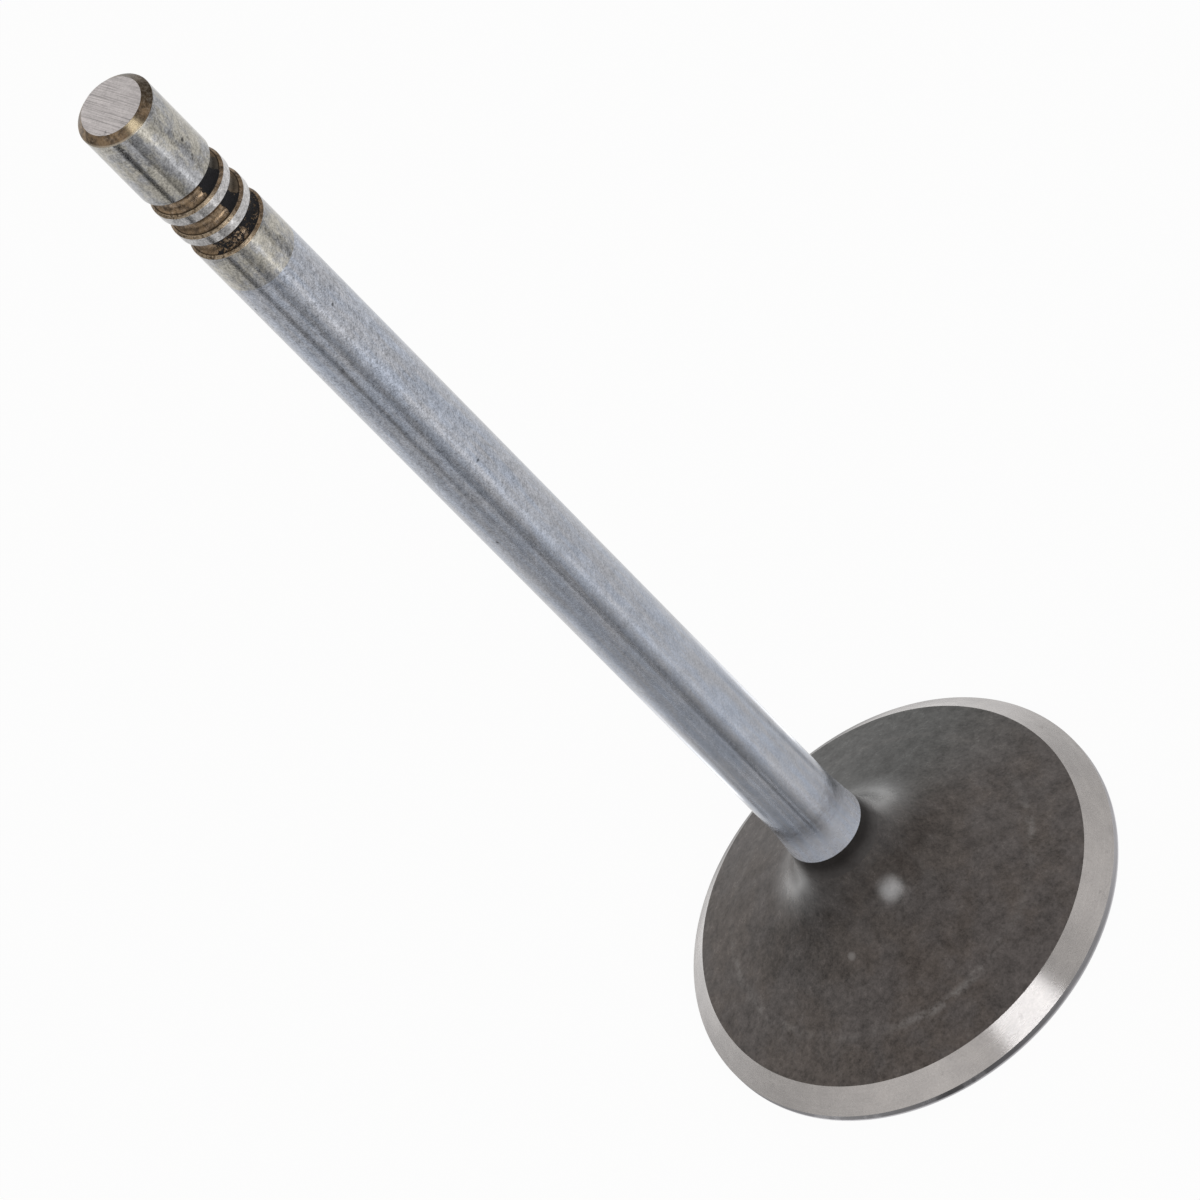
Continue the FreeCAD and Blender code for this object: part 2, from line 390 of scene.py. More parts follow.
def with_even_steps(rows, longest):
    """Divides the long strips, so that no strip is longer than asked for its finish."""
    result = []
    for row, after in zip(rows, rows[1:]):
        length = math.dist(row[:2], after[:2])
        count = max(1, math.ceil(length / longest[row[3]]))
        for step in range(count):
            share = step / count
            radius, height = [start + (end - start) * share for start, end in zip(row[:2], after[:2])]
            result.append((radius, height, 0.0, row[3]))
    result.append(rows[-1])
    return result


def outline_mesh(sizes):
    """The outline as a wire, with the finish of each strip kept on its lower end."""
    longest = {HEAD_FACE: 2.0 * MM, RIM: 0.2 * MM, SEAT: 0.25 * MM, BACK: 0.8 * MM, COLLAR: 0.8 * MM,
               PLATED: 2.5 * MM, GROUND: 0.6 * MM, GROOVE: 0.2 * MM, LIP: 0.1 * MM, CHAMFER: 0.12 * MM,
               TIP_FACE: 0.11 * MM}
    rows = with_even_steps(with_round_edges(without_repeats(valve_outline(sizes))), longest)
    mesh = bpy.data.meshes.new("valve_outline")
    mesh.from_pydata([(row[0], 0.0, row[1]) for row in rows], [(i, i + 1) for i in range(len(rows) - 1)], [])
    finish = mesh.attributes.new("finish", "INT", "POINT")
    finish.data.foreach_set("value", [row[3] for row in rows])
    return mesh


# Lathe

WELD_DISTANCE = 0.0005 * MM
NICK_DEPTH = 0.06 * MM
TIP_NICK_RUN = (-0.70, -0.714, 0.0)
TIP_NICK_HALVES = (0.34 * MM, 0.085 * MM)
SEAT_NICK_HALVES = (0.25 * MM, 0.3 * MM)


def dent(bench, place, centre, along, half_length, half_width):
    """How deep a small worn mark is at a place, from 0 outside it to 1 in its middle."""
    offset = bench.add("ShaderNodeVectorMath", {"operation": "SUBTRACT"}, {0: place, 1: centre})
    run = bench.add("ShaderNodeVectorMath", {"operation": "DOT_PRODUCT"}, {0: offset, 1: along}, output=1)
    reach = bench.add("ShaderNodeVectorMath", {"operation": "LENGTH"}, {0: offset}, output=1)
    across = bench.math("MAXIMUM", reach * reach - run * run, 0.0)
    spread = (run * run) / half_length ** 2 + across / half_width ** 2
    return 1 - bench.smooth(spread, 0.0, 1.0)


def lathe_tree(finishes):
    """Spins an outline round Z, cuts the small dents and gives each strip its finish."""
    tree = bpy.data.node_groups.new("Valve lathe", "GeometryNodeTree")
    for name, kind in (("Outline", "Geometry"), ("Segments", "Int"), ("Weld distance", "Float"),
                       ("Nick depth", "Float"), ("Tip nick", "Vector"), ("Seat nick", "Vector")):
        tree.interface.new_socket(name, in_out="INPUT", socket_type="NodeSocket" + kind)
    tree.interface.new_socket("Valve", in_out="OUTPUT", socket_type="NodeSocketGeometry")
    bench = Bench(tree)
    add = bench.add
    given = tree.nodes.new("NodeGroupInput")
    outline, segments, weld, nick_depth, tip_nick, seat_nick = [
        Link(bench, socket) for socket in given.outputs if socket.name]
    rows = add("GeometryNodeAttributeDomainSize", {"component": "MESH"}, {0: outline})
    grid = add("GeometryNodeMeshGrid", {}, {
        "Size X": 1.0, "Size Y": 1.0, "Vertices X": segments + 1, "Vertices Y": rows})
    index = add("GeometryNodeInputIndex")
    at_row = add("GeometryNodeSampleIndex", {"data_type": "FLOAT_VECTOR"}, {
        "Geometry": outline, "Value": add("GeometryNodeInputPosition"), "Index": index % rows})
    radius, _, height = bench.parts(at_row)
    turn = bench.math("FLOOR", (index + 0.5) / rows) * (2 * math.pi) / segments
    place = bench.vector(radius * bench.math("COSINE", turn), radius * bench.math("SINE", turn), height)
    strip_finish = add("GeometryNodeSampleIndex", {"data_type": "INT"}, {
        "Geometry": outline,
        "Value": add("GeometryNodeInputNamedAttribute", {"data_type": "INT"}, {"Name": "finish"}),
        "Index": index % (rows - 1)})
    marked = add("GeometryNodeStoreNamedAttribute", {"data_type": "INT", "domain": "FACE"}, {
        "Geometry": grid, "Name": "finish", "Value": strip_finish})
    spun = add("GeometryNodeSetPosition", {}, {"Geometry": marked, "Position": place})
    closed = add("GeometryNodeMergeByDistance", {}, {"Geometry": spun, "Distance": weld})
    here = add("GeometryNodeInputPosition")
    depth = dent(bench, here, tip_nick, TIP_NICK_RUN, *TIP_NICK_HALVES)
    depth = depth + dent(bench, here, seat_nick, UP, *SEAT_NICK_HALVES)
    normal = add("GeometryNodeInputNormal")
    push = add("ShaderNodeVectorMath", {"operation": "SCALE"}, {0: normal, "Scale": -(depth * nick_depth)})
    wear_and_painted_light = add("GeometryNodeSetPosition", {}, {"Geometry": closed, "Offset": push})
    result = add("GeometryNodeSetShadeSmooth", {}, {"Geometry": wear_and_painted_light})
    result = add("GeometryNodeRealizeInstances", {}, {"Geometry": result})
    kept = add("GeometryNodeInputNamedAttribute", {"data_type": "INT"}, {"Name": "finish"})
    for number, material in enumerate(finishes):
        chosen = bench.math("COMPARE", kept, float(number))
        result = add("GeometryNodeSetMaterial", {}, {
            "Geometry": result, "Selection": chosen, "Material": material})
    add("NodeGroupOutput", {}, {0: result})
    return tree


# Finishes

FILM_ROUGHNESS = 0.27
FILM_IOR = 2.0
MARKS_RUN_ROUND = 0.25
PITS = ((1.26, -2.70, 90.3), (0.83, -2.87, 69.3), (-2.30, -1.90, 61.0), (-2.79, -1.07, 93.6))
# Places of painted glints on the plating, in millimetres
PAINTED_GLINTS = ((-2.00, -2.22, 70.7), (-1.71, -2.44, 68.8))
TIP_LAND_PIT = (1.85, -2.34, 111.35)
BACK_FLECK = (-5.35, -5.2, 6.55)
RUBBED_SPOT = (0.25, -5.04, 8.75)
FIRST_GROOVE_END = 10.15 * MM
THIRD_GROOVE_START = 13.7 * MM


class Spot:
    """Where a point lies on the valve: square, turned from the camera side towards +X, and down from the tip."""

    def __init__(self, bench, material):
        self.material = material
        self.place = bench.add("ShaderNodeTexCoord", output=3)
        self.x, self.y, self.z = bench.parts(self.place)
        self.radius = (self.x * self.x + self.y * self.y) ** 0.5
        self.turn = bench.math("ARCTAN2", self.x, -self.y)
        self.down = VALVE_BOX[1][2] - self.z
        self.bench = bench

    def noise(self, scale, detail=2.0, roughness=0.5):
        """Noise that is fixed to the valve."""
        return self.bench.noise(self.place, scale, detail, roughness)

    def patches(self, scale, detail, roughness, low, high):
        """Patches where such noise is high, softly bounded between the levels low and high."""
        return self.bench.smooth(self.noise(scale, detail, roughness), low, high)

    def rings(self, per_metre, fading):
        """Coordinates of marks that run round the valve and fade in and out along their length."""
        across = (self.z - self.radius) * per_metre
        return self.bench.vector(self.x / self.radius * fading, self.y / self.radius * fading, across)


def new_finish(name):
    """The bench of a new material, and the place on the valve."""
    material = bpy.data.materials.new(name)
    bench = cleared(material)
    return bench, Spot(bench, material)


def close_finish(spot, colour, roughness, height, depth, metallic=1.0, brushed=0.0, sheen=0.5, film=0.0):
    """Ends a finish: height is in units of depth, in metres, brushed marks run round the valve, film is oxide."""
    bench = spot.bench
    bump = bench.add("ShaderNodeBump", {}, {"Distance": depth, "Height": height})
    surface = bench.add("ShaderNodeBsdfPrincipled", {}, {
        "Base Color": colour, "Metallic": metallic, "Roughness": roughness, "Specular IOR Level": sheen,
        "Anisotropic": brushed, "Anisotropic Rotation": MARKS_RUN_ROUND if brushed else 0.0, "Normal": bump,
        "Coat Weight": film, "Coat Roughness": FILM_ROUGHNESS, "Coat IOR": FILM_IOR})
    bench.add("ShaderNodeOutputMaterial", {}, {"Surface": surface})
    return spot.material


def marks_at(spot, places, size):
    """Small round marks at places given in millimetres."""
    marks = [dent(spot.bench, spot.place, [value * MM for value in place], UP, size, size) for place in places]
    return sum(marks[1:], marks[0])


def strokes(spot, fineness):
    """Short slanting marks left by polishing cloth."""
    across = spot.z * 0.52 - spot.x * 0.80 + spot.y * 0.30
    along = spot.z * 0.85 + spot.x * 0.52
    place = spot.bench.vector(across * fineness, along * fineness * 0.12, spot.y * fineness * 0.5)
    return spot.bench.noise(place, 1.0, 3.0, 0.7)


def hard_plating(finishes):
    """Satin hard plating with faint clouds, fine grain, strokes and pits, painted glints, and a matt haze at its lower
    end.
    """
    bench, spot = new_finish("hard_plating")
    clouds = spot.noise(420, 3, 0.6)
    tint = bench.noise(bench.vector(spot.x, spot.y, spot.z * 0.12), 1100, 4.0, 0.75)
    mottle = spot.noise(1700, 4, 0.7)
    grain = spot.noise(7000, 2, 0.75)
    marks = strokes(spot, 6000)
    pits = bench.specks(spot.place, 520, 0.14, 0.10) * 0.6 + marks_at(spot, PITS, 0.17 * MM)
    # Painted highlight: small bright glints scattered over the plating and at the given places
    painted_glints = bench.specks(spot.place, 610, 0.10, 0.06) * 0.6 + marks_at(spot, PAINTED_GLINTS, 0.15 * MM)
    stains = spot.patches(800, 4, 0.75, 0.60, 0.74)
    plain = finishes.plating
    cool = tinted(plain, 0.95, 0.985, 1.045)
    warm = tinted(plain, 1.03, 0.995, 0.965)
    colour = bench.mix(bench.smooth(tint, 0.34, 0.66), cool, warm)
    worked = bench.smooth(spot.z, 15.0 * MM, 90.0 * MM) * 0.8 + 0.3
    fine = bench.vary(0.0, (mottle, 0.90), (grain, 1.80), (marks, 0.80))
    haze = bench.smooth(spot.z, 17.8 * MM, 14.4 * MM)
    level = bench.vary(1.0, (clouds, 0.34)) + fine * worked - stains * 0.10 + haze * 0.30
    colour = bench.shade(colour, level * (1 - pits * 0.70) + painted_glints * 0.45)
    roughness = bench.vary(0.16, (mottle, 0.16)) + pits * 0.3 + haze * 0.12
    height = clouds * 1.2 + mottle * 0.9 + grain * 0.25 - pits * 1.4
    return close_finish(spot, colour, roughness, height, 0.008 * MM, metallic=1 - haze * 0.72)


def ground_steel(finishes):
    """Bare ground steel of the tip land, the lands between the grooves and the band beside the plating, with painted
    light and shade.
    """
    bench, spot = new_finish("ground_steel")
    clouds = spot.noise(480, 4, 0.65)
    mottle = spot.noise(1900, 4, 0.8)
    lines = bench.noise(spot.rings(9000, 3.0), 1.0, 2.0)
    grain = spot.noise(6500, 2, 0.75)
    marks = strokes(spot, 5200)
    stain = spot.patches(900, 5, 0.8, 0.52, 0.70)
    pit = marks_at(spot, [TIP_LAND_PIT], 0.22 * MM)
    plain = finishes.ground_steel
    land = bench.between(spot.down, FIRST_GROOVE_END - 0.1 * MM, THIRD_GROOVE_START + 0.1 * MM, 0.02 * MM)
    warm = tinted(plain, 1.15, 1.13, 1.03)
    cool = tinted(plain, 0.94, 0.98, 1.05)
    tint = bench.noise(bench.vector(spot.x, spot.y, spot.z * 0.20), 1200, 4.0, 0.75)
    colour = bench.mix(bench.smooth(clouds * 0.5 + tint * 0.5, 0.42, 0.57), cool, warm)
    colour = bench.mix(land, colour, tinted(plain, 1.33, 1.345, 1.38))
    turn = spot.turn + (clouds - 0.5) * 0.5
    # Painted shade: a slanting dim streak on the band and the tip land
    dim = bench.between(turn - spot.down * 8.0, 0.32, 0.58, 0.08) * (1 - land)
    # Painted highlight: a bright streak on the band and the tip land, near the camera side
    bright = bench.between(turn, 0.02, 0.40, 0.08) * (1 - land)
    # Painted light and shade: the lands between the grooves lighter towards +X and darker towards -X
    painted_side_light = bench.smooth(spot.turn, 0.5, 0.9) * 0.20 - bench.smooth(spot.turn, -0.55, -0.85) * 0.18
    level = bench.vary(1.10, (clouds, 0.55), (mottle, 1.40), (lines, 0.25), (grain, 2.20), (marks, 1.10))
    level = level - stain * (0.22 - land * 0.18) - dim * 0.28 + bright * 0.22 + painted_side_light * land
    colour = bench.shade(colour, level * (1 - pit * 0.85))
    roughness = bench.vary(0.10, (mottle, 0.14)) + stain * 0.06
    height = clouds * 1.0 + mottle * 1.0 + lines * 0.3 + grain * 0.25 - pit * 4.0
    return close_finish(spot, colour, roughness, height, 0.006 * MM)


def brown_steel(bench, spot, finishes, ragged):
    """Colour of the heat-browned steel: dark blotches, pale freckles and faint tool marks."""
    blotch = spot.noise(1500, 5, 0.75)
    freckle = spot.noise(4200, 4, 0.8)
    lines = bench.noise(spot.rings(8000, 4.0), 1.0, 3.0, 0.6)
    brown = finishes.heat_brown
    dark = tinted(brown, 0.36, 0.38, 0.44)
    pale = tinted(brown, 1.35, 1.48, 1.80)
    colour = bench.mix(bench.smooth(blotch, 0.38, 0.58), dark, rgba(brown))
    colour = bench.mix(bench.smooth(freckle, 0.50, 0.66) * ragged, colour, pale)
    colour = bench.mix(bench.smooth(freckle, 0.47, 0.36) * ragged, colour, dark)
    return bench.shade(colour, bench.vary(1.0, (lines, 0.5))), blotch, freckle, lines


def browned_groove(finishes):
    """Heat-browned keeper grooves with black crust baked on one side, painted shade towards their sides and a painted
    dark line where each bowl meets its lip.
    """
    bench, spot = new_finish("browned_groove")
    colour, blotch, freckle, lines = brown_steel(bench, spot, finishes, 0.9)
    wander = spot.noise(1600, 6, 0.8) - 0.5
    turn = spot.turn + wander * 0.6
    upper = 1 - bench.smooth(spot.down, FIRST_GROOVE_END, FIRST_GROOVE_END + 0.05 * MM)
    lower = bench.smooth(spot.down, THIRD_GROOVE_START, THIRD_GROOVE_START + 0.1 * MM)
    middle = (1 - upper) * (1 - lower)
    first = bench.between(turn, 0.18, 0.93, 0.03) * upper
    second = bench.between(turn, 0.27, 0.83, 0.03) * middle
    peppered = spot.patches(2600, 5, 0.85, 0.41, 0.46)
    sparse = spot.patches(2900, 5, 0.85, 0.50, 0.54)
    third = bench.between(turn, 0.30, 1.60, 0.12) * lower * peppered
    third = third + bench.between(turn, -0.55, 0.30, 0.12) * lower * sparse
    low_patch = bench.between(turn, -0.78, -0.45, 0.08) * lower
    low_patch = low_patch * spot.patches(2400, 4, 0.8, 0.46, 0.52)
    smear = bench.between(turn, 0.80, 1.45, 0.12) * (upper + middle * 0.7)
    # Painted shade: the grooves darker towards +X and the back, and the lower two also towards -X
    dim = bench.between(turn, 0.8, 2.6, 0.2) + bench.between(turn, -1.9, -0.35, 0.25) * (1 - upper) * 0.55
    # Painted shade: a dark line where each bowl meets its lip
    painted_crease_shade = bench.between(spot.radius, 2.70 * MM, 2.80 * MM, 0.035 * MM)
    crust = bench.smooth(first + second + third + low_patch, 0.4, 0.6)
    colour = bench.mix(bench.math("MINIMUM", dim, 1.0) * 0.65, colour, rgba(finishes.heat_brown, 0.36))
    colour = bench.mix(smear * 0.80, colour, (0.052, 0.052, 0.049, 1.0))
    colour = bench.mix(painted_crease_shade * 0.88, colour, rgba(finishes.heat_brown, 0.10))
    colour = bench.mix(crust, colour, bench.shade(finishes.soot, bench.vary(1.2, (freckle, 2.0))))
    roughness = bench.vary(0.27, (blotch, 0.20)) + crust * 0.34
    height = blotch * 1.0 + freckle * 0.8 + lines * 0.35 + crust * (1.5 + freckle * 3.0)
    return close_finish(spot, colour, roughness, height, 0.014 * MM, metallic=1 - crust, sheen=0.25)


def painted_highlight_mask(bench, spot, wide):
    """Painted highlight: a paler patch on one side of each bevel, on the camera side where the lamp's highlight falls.
    """
    wander = spot.noise(2200, 4, 0.75) - 0.5
    return bench.between(spot.turn + wander * 0.2, -0.10 * wide, 0.25 * wide, 0.15 * wide)


def browned_lip(finishes):
    """Bevels along the groove edges, turned bright and browned over, with a painted highlight on the camera side."""
    bench, spot = new_finish("browned_lip")
    colour, blotch, freckle, lines = brown_steel(bench, spot, finishes, 1.0)
    painted_highlight = painted_highlight_mask(bench, spot, 1.2)
    pale = bench.between(spot.turn, -1.5, 0.2, 0.3) * bench.smooth(freckle, 0.42, 0.54)
    pocks = spot.patches(3600, 4, 0.8, 0.55, 0.62)
    colour = bench.mix(pale * 0.60, colour, (0.52, 0.44, 0.33, 1.0))
    # Painted highlight: pale gold on the camera side of the lips
    colour = bench.mix(painted_highlight * 0.75, colour, (0.66, 0.53, 0.38, 1.0))
    colour = bench.mix(pocks * 0.75, colour, rgba(finishes.heat_brown, 0.12))
    roughness = bench.vary(0.24, (blotch, 0.14))
    return close_finish(spot, colour, roughness, blotch * 0.8 + lines * 0.5 + freckle * 0.5, 0.008 * MM, brushed=0.85)


def browned_chamfer(finishes):
    """Browned bevel round the tip face, with fine marks of the grinding round it, a painted highlight on the camera
    side and a painted bright line along its outer edge.
    """
    bench, spot = new_finish("browned_chamfer")
    colour, blotch, freckle, lines = brown_steel(bench, spot, finishes, 0.60)
    painted_highlight = painted_highlight_mask(bench, spot, 1.0)
    shadow = bench.smooth(spot.turn, 0.45, 0.9) * (1 - bench.smooth(spot.turn, 2.2, 2.6))
    # Painted highlight: a bright line along the outer edge, from the camera side towards -X
    edge = bench.smooth(spot.radius, 2.86 * MM, 2.94 * MM) * bench.between(spot.turn, -1.6, 0.2, 0.2)
    brown = finishes.heat_brown
    pale_grey = tinted(brown, 0.55, 0.68, 0.90)
    grey = bench.mix(bench.smooth(freckle, 0.44, 0.58), rgba(brown, 0.16), pale_grey)
    colour = bench.mix(shadow * 0.8, colour, grey)
    # Painted highlight: pale gold on the camera side of the chamfer
    colour = bench.mix(painted_highlight * 0.85, colour, (0.80, 0.67, 0.45, 1.0))
    colour = bench.mix(edge * 0.7, colour, (0.55, 0.50, 0.42, 1.0))
    roughness = bench.vary(0.25, (blotch, 0.10))
    return close_finish(spot, colour, roughness, lines * 0.5 + blotch * 0.5 + freckle * 0.2, 0.006 * MM, brushed=0.9)


def ground_tip(finishes):
    """End face with the straight scratches of a surface grinder."""
    bench, spot = new_finish("ground_tip")
    across = spot.x * 0.935 + spot.y * 0.355
    along = spot.x * 0.355 - spot.y * 0.935
    fine = bench.noise(bench.vector(across * 12000, along * 260, 0.0), 1.0, 3.0, 0.7)
    broad = bench.noise(bench.vector(across * 6500, along * 90.0, 3.0), 1.0, 3.0, 0.6)
    clouds = spot.noise(900, 4, 0.65)
    grain = spot.noise(6500, 3, 0.75)
    scratch = bench.smooth(broad, 0.50, 0.64)
    steel = finishes.tip_steel
    colour = bench.mix(clouds, rgba(steel, 0.92), tinted(steel, 1.04, 1.03, 1.03))
    level = bench.vary(1.02, (fine, 1.45), (grain, 0.70), (clouds, 0.3)) - scratch * 0.32
    colour = bench.shade(colour, level + bench.smooth(spot.x, 0.5 * MM, -1.5 * MM) * 0.05)
    roughness = bench.vary(0.36, (fine, 0.12))
    height = fine * 0.8 - scratch * 0.9 + grain * 0.4
    return close_finish(spot, colour, roughness, height, 0.004 * MM)


def ground_seat(finishes):
    """Seat with the fine marks of the grinding wheel running round it, and painted shade towards its far side."""
    bench, spot = new_finish("ground_seat")
    lines = bench.noise(spot.rings(14000, 6.0), 1.0, 3.0, 0.6)
    bands = bench.noise(spot.rings(1800, 7.0), 1.0, 2.0)
    clouds = spot.noise(330, 4, 0.65)
    grain = spot.noise(6500, 2, 0.7)
    smudge = spot.patches(700, 4, 0.75, 0.60, 0.72)
    steel = finishes.seat_steel
    colour = bench.mix(clouds, tinted(steel, 0.92, 0.93, 0.95), rgba(steel, 1.06))
    level = bench.vary(1.0, (lines, 0.18), (bands, 0.14), (grain, 0.36), (clouds, 0.3))
    # Painted shade: the seat darker towards its far side, at +Y
    painted_far_shade = bench.smooth(spot.y, 4.0 * MM, 15.0 * MM) * 0.25 + bench.smooth(spot.y, 14.0 * MM, 16.5 * MM) * 0.35
    colour = bench.shade(colour, level - smudge * 0.12 - painted_far_shade)
    roughness = bench.vary(0.27, (bands, 0.04)) + smudge * 0.06
    height = lines * 0.8 + grain * 0.3
    return close_finish(spot, colour, roughness, height, 0.0001 * MM, brushed=0.9)


def forged_back(finishes):
    """Dark scaled back and neck, darkest under the plating, with fine grain, a few scuffs round it and painted light
    and shade.
    """
    bench, spot = new_finish("forged_back")
    clouds = spot.noise(190, 4, 0.65)
    mottle = spot.noise(820, 5, 0.8)
    grain = spot.noise(3400, 3, 0.8)
    patchy = spot.patches(520, 5, 0.75, 0.40, 0.56)
    strong = bench.between(spot.turn, -0.50, 0.30, 0.10) + bench.between(spot.turn, 0.95, 1.25, 0.10) * 0.6
    strong = strong + bench.between(spot.turn, -2.0, -1.3, 0.15) * 0.6
    wander = (spot.noise(120, 2) - 0.5) * (1.2 * MM)
    scuff = bench.between(spot.radius + wander, 12.65 * MM, 12.95 * MM, 0.38 * MM) * patchy * (strong * 0.8 + 0.3)
    fleck = bench.specks(spot.place, 210, 0.10, 0.08) + marks_at(spot, [BACK_FLECK], 0.42 * MM)
    plain = finishes.forged_scale
    warm, neutral = tinted(plain, 1.05, 0.97, 0.92), tinted(plain, 1.00, 0.97, 0.98)
    cool = tinted(plain, 0.88, 1.00, 1.04)
    colour = bench.mix(bench.smooth(clouds, 0.4, 0.60), warm, neutral)
    burnt = bench.smooth(spot.z, 4.5 * MM, 10.5 * MM)
    # Painted light: the back lighter on the camera side
    front = bench.between(spot.turn, -0.6, 0.8, 0.3)
    # Painted shadow: a darker patch near the neck towards -X
    painted_shadow_patch = bench.between(spot.turn + (clouds - 0.5), -1.95, -1.05, 0.3)
    painted_shadow_patch = painted_shadow_patch * bench.smooth(spot.radius, 12.0 * MM, 9.0 * MM)
    level = bench.vary(1.08, (clouds, 0.50), (mottle, 2.3), (grain, 1.5)) + front * 0.10 - painted_shadow_patch * 0.34
    level = level * (1 - burnt * 0.42)
    # Painted reflection: a cooler tint towards the far side at +X, for the pale walls in its sheen
    colour = bench.mix(bench.smooth(spot.turn, 1.4, 2.3), colour, cool)
    colour = bench.shade(colour, bench.math("MAXIMUM", level, 0.04))
    pale = bench.math("MINIMUM", scuff * bench.smooth(mottle, 0.28, 0.66) * 1.6 + fleck * 0.90, 1.0)
    colour = bench.mix(pale, colour, (0.225, 0.212, 0.204, 1.0))
    rubbed_spot = marks_at(spot, [RUBBED_SPOT], 1.35 * MM)
    side = bench.smooth(abs(spot.turn), 1.0, 1.65)
    film = bench.vary(0.05, (mottle, 0.33), (grain, 0.20)) + scuff * 0.20 + rubbed_spot * 0.50
    film = film + bench.smooth(spot.z, 8.9 * MM, 11.0 * MM) * side * 0.60
    height = mottle * 1.0 + grain * 0.35
    roughness = bench.vary(0.25, (mottle, 0.20))
    return close_finish(spot, colour, roughness, height, 0.014 * MM, metallic=0.0, sheen=0.32, film=film)


def burnt_collar(finishes):
    """Black ring right under the plating, where the masking ended."""
    bench, spot = new_finish("burnt_collar")
    mottle = spot.noise(1100, 4, 0.75)
    grain = spot.noise(3400, 3, 0.8)
    fading = 1 - bench.smooth(spot.z, 11.5 * MM, 12.85 * MM)
    plain = finishes.forged_scale
    level = bench.vary(0.26, (mottle, 0.3), (grain, 0.2)) + fading * 0.32
    colour = bench.shade(tinted(plain, 1.0, 0.98, 1.0), level)
    side = bench.smooth(abs(spot.turn), 1.1, 1.75)
    film = bench.vary(0.18, (mottle, 0.40), (grain, 0.25)) * fading + side * 0.90
    roughness = bench.vary(0.36, (mottle, 0.2))
    height = mottle + grain * 0.35
    return close_finish(spot, colour, roughness, height, 0.016 * MM, metallic=0.0, sheen=0.12, film=film)


def turned_rim(finishes):
    """Darkened straight rim under the seat, with painted light along its lower edge and towards its sides."""
    bench, spot = new_finish("turned_rim")
    lines = bench.noise(spot.rings(9000, 6.0), 1.0, 3.0)
    clouds = spot.noise(600, 3, 0.6)
    steel = finishes.seat_steel
    # Painted light: the rim lighter along its lower edge
    wear_and_painted_light = bench.smooth(spot.z, 0.36 * MM, 0.10 * MM)
    level = bench.vary(0.78, (lines, 0.5), (clouds, 0.4)) + wear_and_painted_light * 1.1
    # Painted light: the rim lighter towards its sides
    level = level + bench.smooth(abs(spot.turn), 0.35, 1.0) * 0.75
    colour = bench.shade(tinted(steel, 0.46, 0.47, 0.50), level)
    return close_finish(spot, colour, bench.vary(0.45, (clouds, 0.12)), lines * 0.8 + clouds * 0.4, 0.004 * MM)


def turned_face(finishes):
    """Head face with faint turning rings and a light brown film."""
    bench, spot = new_finish("turned_face")
    rings = bench.noise(spot.rings(5000, 2.0), 1.0, 3.0, 0.6)
    clouds = spot.noise(160, 4, 0.6)
    grain = spot.noise(3500, 2)
    steel = finishes.ground_steel
    film = tinted(steel, 0.75, 0.66, 0.56)
    colour = bench.mix(bench.smooth(clouds, 0.38, 0.66), rgba(steel), film)
    colour = bench.shade(colour, bench.vary(1.0, (rings, 0.5), (grain, 0.3)))
    return close_finish(spot, colour, bench.vary(0.36, (clouds, 0.2)), rings * 0.9 + grain * 0.3, 0.006 * MM)


# Valve

class VALVE_OT_turn(bpy.types.Operator):
    """Turns the valve from its outline and dresses it in its finishes"""

    bl_idname = "valve.turn"
    bl_label = "Turn the valve"

    def execute(self, context):
        scene = context.scene
        sizes = scene.valve_sizes
        makers = (turned_face, turned_rim, ground_seat, forged_back, burnt_collar, hard_plating, ground_steel,
                  browned_groove, browned_lip, browned_chamfer, ground_tip)
        finishes = [make(scene.valve_finishes) for make in makers]
        holder = bpy.data.objects.new("valve_outline", outline_mesh(sizes))
        scene.collection.objects.link(holder)
        lathe = holder.modifiers.new("Lathe", "NODES")
        lathe.node_group = lathe_tree(finishes)
        given = {item.name: item.identifier for item in lathe.node_group.interface.items_tree}
        lathe[given["Segments"]] = sizes.segments
        lathe[given["Weld distance"]] = WELD_DISTANCE
        lathe[given["Nick depth"]] = NICK_DEPTH
        lathe[given["Tip nick"]] = (-1.62 * MM, -1.62 * MM, sizes.length)
        lathe[given["Seat nick"]] = (11.42 * MM, -11.40 * MM, 2.43 * MM)
        context.view_layer.update()
        shaped = bpy.data.meshes.new_from_object(holder.evaluated_get(context.evaluated_depsgraph_get()))
        holder.modifiers.remove(lathe)
        bpy.data.objects.remove(holder)
        shaped.name = "turned_valve"
        valve = bpy.data.objects.new("turned_valve", shaped)
        scene.collection.objects.link(valve)
        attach(valve, "root")
        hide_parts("valve")
        return {"FINISHED"}


# Studio

